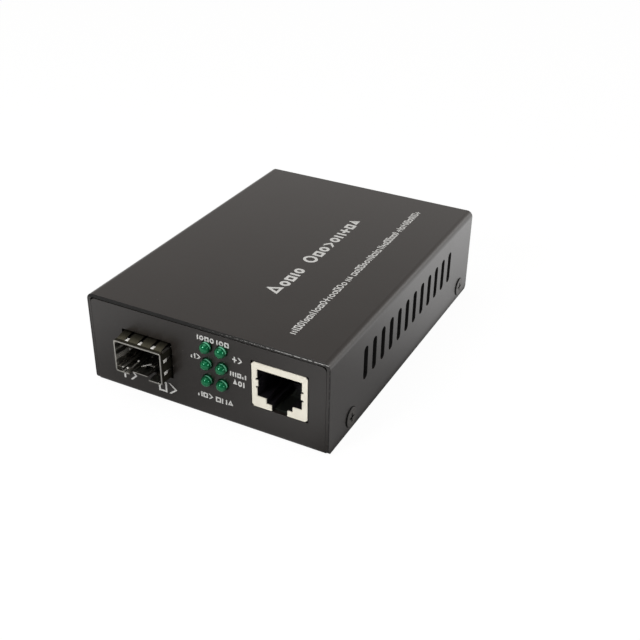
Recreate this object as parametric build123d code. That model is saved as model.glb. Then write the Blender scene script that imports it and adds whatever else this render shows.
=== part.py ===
from build123d import *
import os

# Fibre media converter: a folded steel box with a cage for a pluggable optics module, a network jack and
# six lamps on its front panel, and a power inlet in its back panel.
# Millimetres, +Z up. The origin is the middle of the flat underside. The front panel faces -Y.

# Case
case_width = 70.0
case_depth = 95.0
case_height = 26.5
cover_sheet = 1.0
cover_bend = 1.8
cover_lift = 0.05
cover_edge_round = 0.25
cover_foot_round = 1.5
base_sheet = 1.0
base_inner_bend = 0.2
panel_side_gap = 0.05
panel_top_gap = 0.25
panel_corner = 1.4
flange_height = 8.5
flange_relief = 1.0

# How far a cutter runs past the face that it cuts
cut_past = 1.0

# Vent slots in the cover's sides
slot_count = 12
slot_pitch = 5.22
slot_width = 2.4
slot_length = 9.7
slots_behind_middle = 0.85
slots_below_top = 10.75

# Countersunk screws through the cover's sides into the base's flanges
screw_radius = 1.5
screw_length = 4.1
screw_head_radius = 2.65
screw_head_rim = 0.1
screw_head_proud = 0.35
screw_head_round = 0.2
screw_seat_clearance = 0.08
thread_clearance = 0.05
screw_from_front = 11.9
screw_from_back = 7.1
screw_height = 4.1
cross_span = 2.6
cross_width = 0.55
cross_depth = 0.9

# Circuit board on four standoffs
board_below_top = 18.4
board_thickness = 1.6
board_screw_gap = 0.15
board_end_gap = 0.4
board_hole_clearance = 0.2
standoff_across = 5.0
standoff_spigot_radius = 2.1
standoff_press_gap = 0.03
standoff_from_board_side = 2.7
front_left_standoff = 6.0
front_right_standoff = 23.0
back_standoff = 13.0
board_screw_head_radius = 2.8
board_screw_head_height = 1.9
board_screw_tip_height = 2.1

# Cage for the optics module
cage_from_side = 10.8
cage_width = 14.2
cage_height = 9.1
cage_length = 48.5
cage_sheet = 0.25
cage_bend = 0.5
cage_proud = 4.3
cage_above_board = 0.5
cage_floor_gap = 3.5
leg_width = 1.2
leg_tip = 0.6
leg_count = 4
leg_clearance = 0.15
first_leg_behind_panel = 7.2
last_leg_from_cage_back = 2.4
tongue_width = 4.6
tongue_slit = 0.7
tongue_length = 9.0
tongue_setback = 0.45
tongue_rise = 0.6
tongue_hole = 3.0

# Sprung collar round the cage's mouth
collar_sheet = 0.15
collar_band = 1.0
collar_corner_ease = 0.1
top_finger_count = 4
top_finger_pitch = 3.9
side_finger_count = 3
side_finger_pitch = 3.6
floor_finger_count = 2
finger_slit = 0.9
finger_reach = 6.6
finger_corner_gap = 0.4
finger_clearance = 0.25
window_width = 1.15
window_length = 1.6
cutout_side_gap = 0.5
cutout_top_gap = 1.05
cutout_floor_gap = 0.45

# Board connector at the back of the cage
connector_wall_gap = 0.65
connector_side_wall = 0.9
connector_depth = 9.0
connector_height = 5.4
connector_edge_round = 0.4
connector_from_cage_back = 4.0
connector_floor_gap = 0.3
connector_mouth_height = 1.5
connector_mouth_depth = 6.5
connector_mouth_z = 2.75
connector_column_count = 10
connector_pitch = 0.8
connector_blade_width = 0.35
connector_blade_sheet = 0.15
connector_blade_inset = 0.8
connector_short_tail = 0.45
connector_long_tail = 0.9
channel_clearance = 0.03

# Network jack
jack_from_side = 5.925
jack_width = 15.25
jack_height = 12.85
jack_depth = 16.0
jack_proud = 0.1
jack_cutout_gap = 0.25
jack_corner_chamfer = 0.6
jack_side_wall = 1.45
jack_floor = 3.1
jack_roof = 1.8
jack_back_wall = 3.2
step_width = 7.3
step_depth = 1.5
latch_width = 4.4
latch_depth = 11.0
rib_height = 1.7
rib_depth = 0.25
rib_middle = 6.95
rib_notch_height = 0.65
rib_notch_depth = 0.4
rib_length = 2.5
peg_radius = 1.6
peg_from_jack_side = 1.925
peg_from_front = 9.0
peg_tip = 0.6
peg_chamfer = 0.4
peg_clearance = 0.1
jack_wire_count = 8
jack_wire_pitch = 1.02
jack_wire_radius = 0.2
jack_wire_bend = 0.5
jack_wire_fold = 0.24
jack_wire_front = 2.2
jack_wire_reach = 9.4
jack_wire_drop = 3.2
jack_wire_gap = 0.06
wire_tip = 0.8

# Lamps and their holder
lamp_radius = 1.5
lamp_proud = 2.2
lamp_length = 5.4
lamp_flange = 0.9
lamp_flange_lip = 0.25
lamp_left_x = 1.1
lamp_column_pitch = 4.4
lamp_row_pitch = 4.9
lamp_above_board = 3.25
lamp_hole_clearance = 0.15
holder_margin = 2.2
holder_top_margin = 1.8
holder_depth = 3.2
holder_corner = 0.6
holder_panel_gap = 0.2
holder_bore_clearance = 0.06
lead_radius = 0.25
lead_spacing = 2.54
lead_bend = 0.5
lead_first_bend = 1.7
lead_step = 1.1
lead_hole_clearance = 0.15

# Power inlet in the back panel
inlet_from_side = 10.5
inlet_width = 9.0
inlet_depth = 13.2
inlet_height = 10.8
inlet_chamfer = 1.0
inlet_nose_radius = 4.0
inlet_hole_clearance = 0.2
inlet_panel_gap = 0.3
inlet_middle_above_board = 6.4
inlet_bore_radius = 3.2
inlet_bore_depth = 10.6
inlet_pin_radius = 1.05
inlet_pin_round = 0.35
inlet_pin_length = 9.0
inlet_pin_shank_radius = 1.3
inlet_pin_clearance = 0.02
inlet_blade_width = 1.8
inlet_blade_sheet = 0.3
inlet_blade_setback = 1.0
inlet_groove_depth = 0.5
inlet_groove_side_gap = 0.2

# Chips, transformer and crystal
lead_frame_sheet = 0.2
lead_frame_reach = 1.0
fine_pitch = 0.8
coarse_pitch = 1.27
chip_height = 1.4
converter_chip_size = 14.0
converter_chip_lead_count = 16
converter_chip_x = 5.0
converter_chip_from_front = 49.5
memory_chip_width = 4.0
memory_chip_depth = 5.0
memory_chip_lead_count = 4
memory_chip_behind_cage = 6.0
transformer_width = 12.6
transformer_depth = 17.4
transformer_height = 5.8
transformer_lead_count = 12
transformer_behind_jack = 2.5
transformer_left_of_jack = 4.8
crystal_length = 11.0
crystal_width = 4.65
crystal_height = 3.5
crystal_edge_round = 0.4
crystal_lip = 0.4
crystal_from_front = 31.5

# Power supply parts
supply_row_from_back = 21.0
regulator_x = -8.0
regulator_width = 6.5
regulator_depth = 3.5
regulator_height = 1.6
regulator_lead_count = 3
regulator_pitch = 2.3
regulator_lead_width = 0.7
regulator_tab_width = 3.0
inductor_x = -16.5
inductor_size = 7.2
inductor_height = 3.4
inductor_corner = 1.5
inductor_dish_radius = 2.5
inductor_dish_depth = 0.3
capacitor_row_from_back = 10.0
capacitor_left_x = -14.0
capacitor_right_x = 0.0
capacitor_radius = 3.15
capacitor_height = 7.6
capacitor_base_height = 0.8
capacitor_base_lip = 0.15
capacitor_edge_round = 0.4
capacitor_groove_height = 2.2
capacitor_groove_radius = 0.4
capacitor_groove_outset = 0.1

# Places worked out from the sizes above
front_y = -case_depth / 2
back_y = case_depth / 2
panel_half_width = case_width / 2 - cover_sheet - panel_side_gap
panel_top = case_height - cover_sheet - panel_top_gap
board_half_width = case_width / 2 + screw_head_proud - screw_length - board_screw_gap
board_top = case_height - board_below_top
board_bottom = board_top - board_thickness
board_front = front_y + base_sheet + board_end_gap
board_back = back_y - base_sheet - board_end_gap
cage_middle_x = cage_from_side + cage_width / 2 - case_width / 2
cage_front = front_y - cage_proud
cage_back = cage_front + cage_length
cage_bottom = board_top + cage_above_board
cage_top = cage_bottom + cage_height
connector_half_width = cage_width / 2 - cage_sheet - connector_wall_gap
connector_back = cage_back - connector_from_cage_back
connector_front = connector_back - connector_depth
jack_middle_x = case_width / 2 - jack_from_side - jack_width / 2
jack_front = front_y - jack_proud
jack_back = jack_front + jack_depth
jack_top = board_top + jack_height
socket_half_width = jack_width / 2 - jack_side_wall
socket_floor = board_top + jack_floor
socket_roof = jack_top - jack_roof
socket_back = jack_back - jack_back_wall
jack_wire_z = socket_roof - jack_wire_radius - jack_wire_gap
jack_wire_tail_y = jack_back + jack_wire_bend + jack_wire_gap
lamp_tip = front_y - lamp_proud
lamp_back = lamp_tip + lamp_length
lamp_flange_radius = lamp_radius + lamp_flange_lip
holder_front = front_y + base_sheet + holder_panel_gap
inlet_middle_x = case_width / 2 - inlet_from_side - inlet_width / 2
inlet_middle_z = board_top + inlet_middle_above_board
inlet_shoulder = back_y - base_sheet - inlet_panel_gap
inlet_front = inlet_shoulder - inlet_depth
inlet_bore_end = back_y - inlet_bore_depth
inlet_pin_leg_y = inlet_front - inlet_blade_sheet / 2
inlet_contact_leg_y = inlet_bore_end + inlet_blade_sheet / 2

# Turns a shape that stands along +Z so that it lies along another axis
TURN = {
    "X": Rot(0, 90, 0),
    "-X": Rot(0, -90, 0),
    "Y": Rot(-90, 0, 0),
    "Z": Rot(0, 0, 0),
}


def block(low, high):
    """A box from its lowest corner to its highest."""
    size = [b - a for a, b in zip(low, high)]
    middle = [(a + b) / 2 for a, b in zip(low, high)]
    return Pos(*middle) * Box(*size)


def rod(start, axis, radius, length):
    """A round bar that starts at a point and runs along an axis."""
    bar = Cylinder(radius, length, align=(Align.CENTER, Align.CENTER, Align.MIN))
    return Pos(*start) * TURN[axis] * bar


def cone(start, axis, first_radius, last_radius, length):
    """A cone's frustum that starts at a point and runs along an axis."""
    frustum = Cone(first_radius, last_radius, length, align=(Align.CENTER, Align.CENTER, Align.MIN))
    return Pos(*start) * TURN[axis] * frustum


def wire(points, radius, bend):
    """A round wire along straight runs, with a bend at each inner point."""
    path = FilletPolyline(*points, radius=bend)
    section = Plane(origin=path @ 0, z_dir=path % 0) * Circle(radius)
    return sweep(section, path=path)


def slab(outline, low_x, high_x):
    """A flat outline of (y, z) points, extruded along X."""
    face = Plane.YZ * make_face(Polyline(*outline, close=True))
    return Pos(low_x, 0, 0) * extrude(face, amount=high_x - low_x)


def save(name, solids):
    """Writes one node: a single solid, or like solids as a group."""
    group = solids[0] if len(solids) == 1 else Compound(children=solids)
    export_step(group, f"parts/{name}.step")


def spread(count, pitch):
    """Evenly pitched offsets, centred on zero."""
    return [(i - (count - 1) / 2) * pitch for i in range(count)]


def case_screw_places():
    """The side, y and z of each screw that holds the cover."""
    rows = (front_y + screw_from_front, back_y - screw_from_back)
    return [(side, y, screw_height) for side in (-1, 1) for y in rows]


def standoff_places():
    """The x and y of each standoff under the board."""
    x = board_half_width - standoff_from_board_side
    front_left = (-x, front_y + front_left_standoff)
    front_right = (x, front_y + front_right_standoff)
    return [front_left, front_right, (-x, back_y - back_standoff), (x, back_y - back_standoff)]


def lamp_places():
    """The x and z of each lamp, by name."""
    rows = {"bottom": 0, "middle": 1, "top": 2}
    columns = {"left": 0, "right": 1}
    places = {}
    for row, up in rows.items():
        for column, across in columns.items():
            x = lamp_left_x + across * lamp_column_pitch
            z = board_top + lamp_above_board + up * lamp_row_pitch
            places[f"led_{row}_{column}"] = (x, z)
    return places


def lead_runs():
    """The x, z and turning y of each lamp lead: a higher lamp's leads turn down further back."""
    runs = []
    for x, z in lamp_places().values():
        row = round((z - board_top - lamp_above_board) / lamp_row_pitch)
        turn_y = lamp_back + lead_first_bend + row * lead_step
        runs += [(x + side * lead_spacing / 2, z, turn_y) for side in (-1, 1)]
    return runs


def jack_wire_places():
    """The x of each sprung wire in the jack."""
    return [jack_middle_x + offset for offset in spread(jack_wire_count, jack_wire_pitch)]


def peg_places():
    """The x of each peg under the jack."""
    offset = jack_width / 2 - peg_from_jack_side
    return [jack_middle_x - offset, jack_middle_x + offset]


def leg_places():
    """The side and y of each leg of the cage."""
    first = front_y + base_sheet + first_leg_behind_panel
    last = cage_back - last_leg_from_cage_back
    step = (last - first) / (leg_count - 1)
    return [(side, first + i * step) for side in (-1, 1) for i in range(leg_count)]


def make_top_cover():
    """One sheet folded down at both sides, with vent slots and screw seats in the sides."""
    height = case_height - cover_lift
    middle = cover_lift + height / 2
    outside = Pos(0, middle) * Rectangle(case_width, height)
    inside = Pos(0, middle - cover_sheet) * Rectangle(case_width - 2 * cover_sheet, height)
    outside = fillet(outside.vertices().group_by(Axis.Y)[-1], cover_bend)
    outside = fillet(outside.vertices().group_by(Axis.Y)[0], cover_edge_round)
    inside = fillet(inside.vertices().group_by(Axis.Y)[-1], cover_bend - cover_sheet)
    cover = extrude(Plane.XZ * (outside - inside), amount=case_depth / 2, both=True)
    side = Pos(0, middle) * Rectangle(case_depth, height)
    side = fillet(side.vertices().group_by(Axis.Y)[0], cover_foot_round)
    cover &= extrude(Plane.YZ * side, amount=case_width, both=True)
    slot = Plane.YZ * SlotOverall(slot_length, slot_width, rotation=90)
    slot = extrude(slot, amount=case_width / 2 + cut_past, both=True)
    slots_z = case_height - slots_below_top
    cuts = []
    for offset in spread(slot_count, slot_pitch):
        cuts.append(Pos(0, slots_behind_middle + offset, slots_z) * slot)
    taper = (screw_head_radius - screw_radius) / (cover_sheet - screw_head_rim)
    inner = screw_radius + screw_seat_clearance
    outer = inner + taper * cover_sheet
    for side, y, z in case_screw_places():
        axis = "-X" if side > 0 else "X"
        cuts.append(cone((side * case_width / 2, y, z), axis, outer, inner, cover_sheet))
    return cover - cuts


def folded_wall(height, length):
    """A wall folded up from the base: its outer face is at x = 0 and it runs along Y, centred."""
    outer = base_inner_bend + base_sheet
    centre = (-outer, outer)
    edges = [
        CenterArc(centre, outer, -90, 90),
        Line((0, outer), (0, height)),
        Line((0, height), (-base_sheet, height)),
        Line((-base_sheet, height), (-base_sheet, outer)),
        CenterArc(centre, base_inner_bend, -90, 90),
        Line((-outer, base_sheet), (-outer, 0)),
    ]
    return extrude(Plane.XZ * make_face(edges), amount=length / 2, both=True)


def make_base_chassis():
    """One sheet: the bottom, the front and back panels folded up, and a low flange along each side."""
    wide = panel_half_width
    outer = base_inner_bend + base_sheet
    flange_end = case_depth / 2 - base_sheet - flange_relief
    low = -cut_past
    through = base_sheet + 2 * cut_past
    bottom = block((-wide, front_y + outer, 0), (wide, back_y - outer, base_sheet))
    bottom -= block((wide - outer, -flange_end, low), (wide + cut_past, flange_end, low + through))
    bottom -= block((-wide - cut_past, -flange_end, low), (outer - wide, flange_end, low + through))
    front = Pos(0, front_y, 0) * Rot(0, 0, -90) * folded_wall(panel_top, 2 * wide)
    back = Pos(0, back_y, 0) * Rot(0, 0, 90) * folded_wall(panel_top, 2 * wide)
    right = Pos(wide, 0, 0) * folded_wall(flange_height, 2 * flange_end)
    left = Rot(0, 0, 180) * right
    base = bottom + [front, back, right, left]
    corners = base.edges().filter_by(Axis.Y).group_by(Axis.Z)[-1]
    base = fillet(corners, panel_corner)
    cuts = [cage_cutout(), jack_cutout()]
    for x, z in lamp_places().values():
        start = (x, front_y - cut_past, z)
        cuts.append(rod(start, "Y", lamp_radius + lamp_hole_clearance, through))
    for side, y, z in case_screw_places():
        axis = "X" if side > 0 else "-X"
        start = (side * (wide - base_sheet - cut_past), y, z)
        cuts.append(rod(start, axis, screw_radius + thread_clearance, through))
    for x, y in standoff_places():
        cuts.append(rod((x, y, low), "Z", standoff_spigot_radius + standoff_press_gap, through))
    start = (inlet_middle_x, back_y - base_sheet - cut_past, inlet_middle_z)
    cuts.append(rod(start, "Y", inlet_nose_radius + inlet_hole_clearance, through))
    return base - cuts


def cage_cutout():
    """The front panel's opening for the cage and its sprung collar."""
    half = cage_width / 2 + cutout_side_gap
    low = (cage_middle_x - half, front_y - cut_past, cage_bottom - cutout_floor_gap)
    high = (cage_middle_x + half, front_y + base_sheet + cut_past, cage_top + cutout_top_gap)
    return block(low, high)


def jack_cutout():
    """The front panel's opening for the network jack."""
    half = jack_width / 2 + jack_cutout_gap
    low = (jack_middle_x - half, front_y - cut_past, board_top - jack_cutout_gap)
    high = (jack_middle_x + half, front_y + base_sheet + cut_past, jack_top + jack_cutout_gap)
    return block(low, high)


def make_cross(span, width, depth):
    """The cutter for a cross recess, going down from the origin."""
    bar = Box(span, width, depth, align=(Align.CENTER, Align.CENTER, Align.MAX))
    return bar + Rot(0, 0, 90) * bar


def make_cover_screw(side, y, z):
    """A raised countersunk screw: its cone seats in the cover's side and its crown stands proud."""
    seat_depth = cover_sheet - screw_head_rim
    crown = screw_head_proud + screw_head_rim
    head_height = crown + seat_depth
    rim = rod((0, 0, -crown), "Z", screw_head_radius, crown)
    rim = fillet(rim.edges().group_by(Axis.Z)[-1], screw_head_round)
    head = cone((0, 0, -head_height), "Z", screw_radius, screw_head_radius, seat_depth)
    shank = rod((0, 0, -screw_length), "Z", screw_radius, screw_length - head_height)
    screw = rim + head + shank - make_cross(cross_span, cross_width, cross_depth)
    return Pos(side * (case_width / 2 + screw_head_proud), y, z) * Rot(0, side * 90, 0) * screw


def make_standoff(x, y):
    """A hexagonal pillar pressed into the base by its spigot, with a threaded bore."""
    outline = RegularPolygon(standoff_across / 2, 6, major_radius=False)
    pillar = extrude(outline, amount=board_bottom - base_sheet)
    spigot = rod((0, 0, -base_sheet), "Z", standoff_spigot_radius, base_sheet)
    bore = rod((0, 0, -base_sheet), "Z", screw_radius + thread_clearance, board_bottom)
    return Pos(x, y, base_sheet) * (pillar + spigot - bore)


def make_board_screw(x, y):
    """A pan-head screw that holds the board down on a standoff."""
    head = rod((0, 0, 0), "Z", board_screw_head_radius, board_screw_head_height)
    head = fillet(head.edges().sort_by(Axis.Z)[-1], board_screw_head_height / 2)
    length = board_top - board_screw_tip_height
    shank = rod((0, 0, -length), "Z", screw_radius, length)
    recess = Pos(0, 0, board_screw_head_height) * make_cross(cross_span, cross_width, cross_depth)
    return Pos(x, y, board_top) * (head + shank - recess)


def board_slot(x, y, wide, deep):
    """The slot in the board for a flat leg, with room round it."""
    half_x = wide / 2 + leg_clearance
    half_y = deep / 2 + leg_clearance
    low = (x - half_x, y - half_y, board_bottom - cut_past)
    return block(low, (x + half_x, y + half_y, board_top + cut_past))


def make_main_board():
    """The circuit board, drilled for its screws and for every lead, leg and peg."""
    low = (-board_half_width, board_front, board_bottom)
    board = block(low, (board_half_width, board_back, board_top))
    holes = [(x, y, screw_radius + board_hole_clearance) for x, y in standoff_places()]
    holes += [(x, jack_front + peg_from_front, peg_radius + peg_clearance) for x in peg_places()]
    holes += [(x, jack_wire_tail_y, jack_wire_radius + lead_hole_clearance) for x in jack_wire_places()]
    holes += [(x, turn_y, lead_radius + lead_hole_clearance) for x, z, turn_y in lead_runs()]
    cuts = []
    for x, y, radius in holes:
        cuts.append(rod((x, y, board_bottom - cut_past), "Z", radius, board_thickness + 2 * cut_past))
    for side, y in leg_places():
        wall_x = cage_middle_x + side * (cage_width - cage_sheet) / 2
        cuts.append(board_slot(wall_x, y, cage_sheet, leg_width))
    for y in (inlet_pin_leg_y, inlet_contact_leg_y):
        cuts.append(board_slot(inlet_middle_x, y, inlet_blade_width, inlet_blade_sheet))
    return board - cuts


def make_sfp_cage():
    """A folded tube, open at its mouth, with legs, a latch tongue and a floor that stops at the connector."""
    half = cage_width / 2
    x = cage_middle_x
    mouth = cage_front - cut_past
    outside = block((x - half, cage_front, cage_bottom), (x + half, cage_back, cage_top))
    outside = fillet(outside.edges().filter_by(Axis.Y), cage_bend)
    inside_low = (x - half + cage_sheet, mouth, cage_bottom + cage_sheet)
    inside_high = (x + half - cage_sheet, cage_back - cage_sheet, cage_top - cage_sheet)
    inside = block(inside_low, inside_high)
    inside = fillet(inside.edges().filter_by(Axis.Y), cage_bend - cage_sheet)
    floor_low = cage_bottom - cut_past
    floor_high = cage_bottom + 2 * cage_sheet
    open_half = connector_half_width + connector_floor_gap
    open_low = (x - open_half, connector_front - cage_floor_gap, floor_low)
    floor_opening = block(open_low, (x + open_half, cage_back + cut_past, floor_high))
    slot_half = tongue_width / 2 + tongue_slit
    tongue_root = cage_front + tongue_length
    tongue_slot = block((x - slot_half, mouth, floor_low), (x + slot_half, tongue_root, floor_high))
    cage = outside - [inside, floor_opening, tongue_slot]
    tongue_tip = cage_front + tongue_setback
    outline = [
        (tongue_root, cage_bottom),
        (tongue_tip, cage_bottom + tongue_rise),
        (tongue_tip, cage_bottom + tongue_rise + cage_sheet),
        (tongue_root, cage_bottom + cage_sheet),
    ]
    tongue = slab(outline, x - tongue_width / 2, x + tongue_width / 2)
    latch_hole = Pos(x, cage_front + tongue_length / 2, cage_bottom) * Rot(0, 0, -90) * latch_cutter()
    cage += tongue - latch_hole
    legs = []
    for side, y in leg_places():
        wall_out = x + side * half
        wall_in = wall_out - side * cage_sheet
        low = (min(wall_out, wall_in), y - leg_width / 2, board_bottom - leg_tip)
        high = (max(wall_out, wall_in), y + leg_width / 2, cage_bottom + 2 * cage_bend)
        legs.append(block(low, high))
    return cage + legs


def latch_cutter():
    """A triangular prism for the hole that catches the module's latch."""
    sketch = RegularPolygon(tongue_hole / 2, 3)
    return extrude(sketch, amount=tongue_rise + 2 * cage_sheet, both=True)


def collar_fingers(count, pitch, span, surface, bow, gap_half):
    """Sprung fingers along the +Z side of the cage's mouth, about the cage's own middle line."""
    root = cage_front + collar_band
    tip = root + finger_reach
    middle = (root + tip) / 2
    inner = ThreePointArc((root, surface), (middle, surface + bow), (tip, surface))
    end = Line((tip, surface), (tip, surface + collar_sheet))
    raised = surface + collar_sheet
    outer = ThreePointArc((tip, raised), (middle, raised + bow), (root, raised))
    start = Line((root, raised), (root, surface))
    profile = Plane.YZ * make_face([inner, end, outer, start])
    strip = extrude(profile, amount=span / 2 - finger_corner_gap, both=True)
    high = raised + bow + cut_past
    cuts = []
    for offset in spread(count - 1, pitch):
        cuts.append(block((offset - finger_slit / 2, root, surface), (offset + finger_slit / 2, tip, high)))
        low = (offset - window_width / 2, root, surface)
        cuts.append(block(low, (offset + window_width / 2, root + window_length, high)))
    if gap_half:
        cuts.append(block((-gap_half, root, surface), (gap_half, tip, high)))
    return strip - cuts


def make_emi_spring_collar():
    """A thin band round the cage's mouth, with fingers that bow out to the panel's cut-out."""
    half_x = cage_width / 2
    half_z = cage_height / 2
    mouth = cage_front - cut_past
    band_end = cage_front + collar_band
    band_low = (-half_x - collar_sheet, cage_front, -half_z - collar_sheet)
    band = block(band_low, (half_x + collar_sheet, band_end, half_z + collar_sheet))
    band = fillet(band.edges().filter_by(Axis.Y), cage_bend + collar_sheet - collar_corner_ease)
    hollow = block((-half_x, mouth, -half_z), (half_x, band_end + cut_past, half_z))
    hollow = fillet(hollow.edges().filter_by(Axis.Y), cage_bend - collar_corner_ease)
    slot_half = tongue_width / 2 + tongue_slit
    gap_low = (-slot_half, mouth, -half_z - cut_past)
    gap = block(gap_low, (slot_half, band_end + cut_past, -half_z + cage_sheet))
    side_bow = cutout_side_gap - collar_sheet - finger_clearance
    top_bow = cutout_top_gap - collar_sheet - finger_clearance
    floor_bow = cutout_floor_gap - collar_sheet - finger_clearance
    top = collar_fingers(top_finger_count, top_finger_pitch, cage_width, half_z, top_bow, 0)
    side = collar_fingers(side_finger_count, side_finger_pitch, cage_height, half_x, side_bow, 0)
    floor = collar_fingers(floor_finger_count, top_finger_pitch, cage_width, half_z, floor_bow, slot_half)
    turned = [top, Rot(0, 90, 0) * side, Rot(0, -90, 0) * side, Rot(0, 180, 0) * floor]
    collar = band - [hollow, gap] + turned
    return Pos(cage_middle_x, 0, cage_bottom + half_z) * collar


def connector_blades(clearance):
    """The x, lowest z and highest z of each blade in the connector, grown by a clearance."""
    blades = []
    slot_middle = board_top + connector_mouth_z
    for offset in spread(connector_column_count, connector_pitch):
        for side in (-1, 1):
            face = slot_middle + side * connector_mouth_height / 2
            inner = face - side * connector_blade_sheet
            x = cage_middle_x + offset
            blades.append((x, min(face, inner) - clearance, max(face, inner) + clearance))
    return blades


def make_connector_housing():
    """The moulded board connector that the optics module plugs into."""
    half = connector_half_width
    x = cage_middle_x
    top = board_top + connector_height
    body = block((x - half, connector_front, board_top), (x + half, connector_back, top))
    body = fillet(body.edges().filter_by(Axis.X).group_by(Axis.Z)[-1], connector_edge_round)
    slot_half = half - connector_side_wall
    low = board_top + connector_mouth_z - connector_mouth_height / 2
    slot_low = (x - slot_half, connector_front - cut_past, low)
    slot_end = connector_front + connector_mouth_depth
    cuts = [block(slot_low, (x + slot_half, slot_end, low + connector_mouth_height))]
    wide = connector_blade_width / 2 + channel_clearance
    for blade_x, low_z, high_z in connector_blades(channel_clearance):
        start = (blade_x - wide, connector_front + connector_blade_inset, low_z)
        cuts.append(block(start, (blade_x + wide, connector_back + cut_past, high_z)))
    return body - cuts


def make_connector_contacts():
    """Twenty flat contacts: a blade in the mouth, through the back, and down to the board."""
    contacts = []
    wide = connector_blade_width / 2
    for count, (x, low_z, high_z) in enumerate(connector_blades(0)):
        back = connector_back + (connector_short_tail if count % 2 == 0 else connector_long_tail)
        start = (x - wide, connector_front + connector_blade_inset, low_z)
        blade = block(start, (x + wide, back, high_z))
        tail = block((x - wide, back - connector_blade_sheet, board_top), (x + wide, back, high_z))
        contacts.append(blade + tail)
    return contacts


def make_rj45_housing():
    """The moulded jack: a stepped socket with its latch channel at the bottom, on two pegs."""
    half = jack_width / 2
    x = jack_middle_x
    mouth = jack_front - cut_past
    body = block((x - half, jack_front, board_top), (x + half, jack_back, jack_top))
    body = chamfer(body.edges().filter_by(Axis.Y), jack_corner_chamfer)
    socket_low = (x - socket_half_width, mouth, socket_floor)
    cuts = [block(socket_low, (x + socket_half_width, socket_back, socket_roof))]
    step_low = (x - step_width / 2, mouth, socket_floor - step_depth)
    cuts.append(block(step_low, (x + step_width / 2, socket_back, socket_floor)))
    latch_low = (x - latch_width / 2, mouth, board_top - cut_past)
    cuts.append(block(latch_low, (x + latch_width / 2, jack_front + latch_depth, socket_floor)))
    rib_z = board_top + rib_middle
    rib_end = jack_front + rib_length
    notch_half = rib_height / 2 + rib_notch_height
    notch_x = socket_half_width + rib_notch_depth
    notch_low = (x - notch_x, mouth, rib_z - notch_half)
    cuts.append(block(notch_low, (x + notch_x, rib_end, rib_z + notch_half)))
    body -= cuts
    ribs = []
    for side in (-1, 1):
        outer = x + side * notch_x
        tip = x + side * (socket_half_width - rib_depth)
        low = (min(outer, tip), jack_front, rib_z - rib_height / 2)
        ribs.append(block(low, (max(outer, tip), rib_end, rib_z + rib_height / 2)))
    pegs = [Pos(peg_x, jack_front + peg_from_front, 0) * make_peg() for peg_x in peg_places()]
    wire_holes = []
    hole_radius = jack_wire_radius + channel_clearance
    for wire_x in jack_wire_places():
        start = (wire_x, socket_back - cut_past, jack_wire_z)
        wire_holes.append(rod(start, "Y", hole_radius, jack_back_wall + 2 * cut_past))
    return body + ribs + pegs - wire_holes


def make_peg():
    """A round peg from inside the jack's floor down through the board, with a chamfered end."""
    top = board_top + (jack_floor - step_depth) / 2
    tip = board_bottom - peg_tip
    shape = rod((0, 0, tip), "Z", peg_radius, top - tip)
    return chamfer(shape.edges().sort_by(Axis.Z)[0], peg_chamfer)


def make_rj45_contacts():
    """Eight sprung wires: up from the board, along the socket's roof, and folded back down into it."""
    wires = []
    z = jack_wire_z
    for x in jack_wire_places():
        points = [
            (x, jack_wire_tail_y, board_bottom - wire_tip),
            (x, jack_wire_tail_y, z),
            (x, jack_front + jack_wire_front, z),
            (x, jack_front + jack_wire_reach, z - jack_wire_drop),
        ]
        wires.append(wire(points, jack_wire_radius, [jack_wire_bend, jack_wire_fold]))
    return wires


def make_lamp(x, z):
    """A round lamp with a domed tip and a flange at its back."""
    dome = Pos(x, lamp_tip + lamp_radius, z) * Sphere(lamp_radius)
    body = rod((x, lamp_tip + lamp_radius, z), "Y", lamp_radius, lamp_length - lamp_radius)
    flange = rod((x, lamp_back - lamp_flange, z), "Y", lamp_flange_radius, lamp_flange)
    return dome + body + flange


def make_led_holder():
    """A moulded plate that stands on the board behind the panel, with a stepped bore for each lamp."""
    places = list(lamp_places().values())
    low_x = min(x for x, z in places) - holder_margin
    high_x = max(x for x, z in places) + holder_margin
    high_z = max(z for x, z in places) + holder_top_margin
    holder = block((low_x, holder_front, board_top), (high_x, holder_front + holder_depth, high_z))
    holder = fillet(holder.edges().filter_by(Axis.Y).group_by(Axis.Z)[-1], holder_corner)
    through = holder_depth + 2 * cut_past
    step_y = lamp_back - lamp_flange - holder_bore_clearance
    cuts = []
    for x, z in places:
        bore_start = (x, holder_front - cut_past, z)
        cuts.append(rod(bore_start, "Y", lamp_radius + holder_bore_clearance, through))
        cuts.append(rod((x, step_y, z), "Y", lamp_flange_radius + holder_bore_clearance, through))
    return holder - cuts


def make_led_leads():
    """Two leads from the back of each lamp, bent down behind the holder and through the board."""
    leads = []
    for x, z, turn_y in lead_runs():
        points = [(x, lamp_back, z), (x, turn_y, z), (x, turn_y, board_bottom - wire_tip)]
        leads.append(wire(points, lead_radius, [lead_bend]))
    return leads


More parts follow.
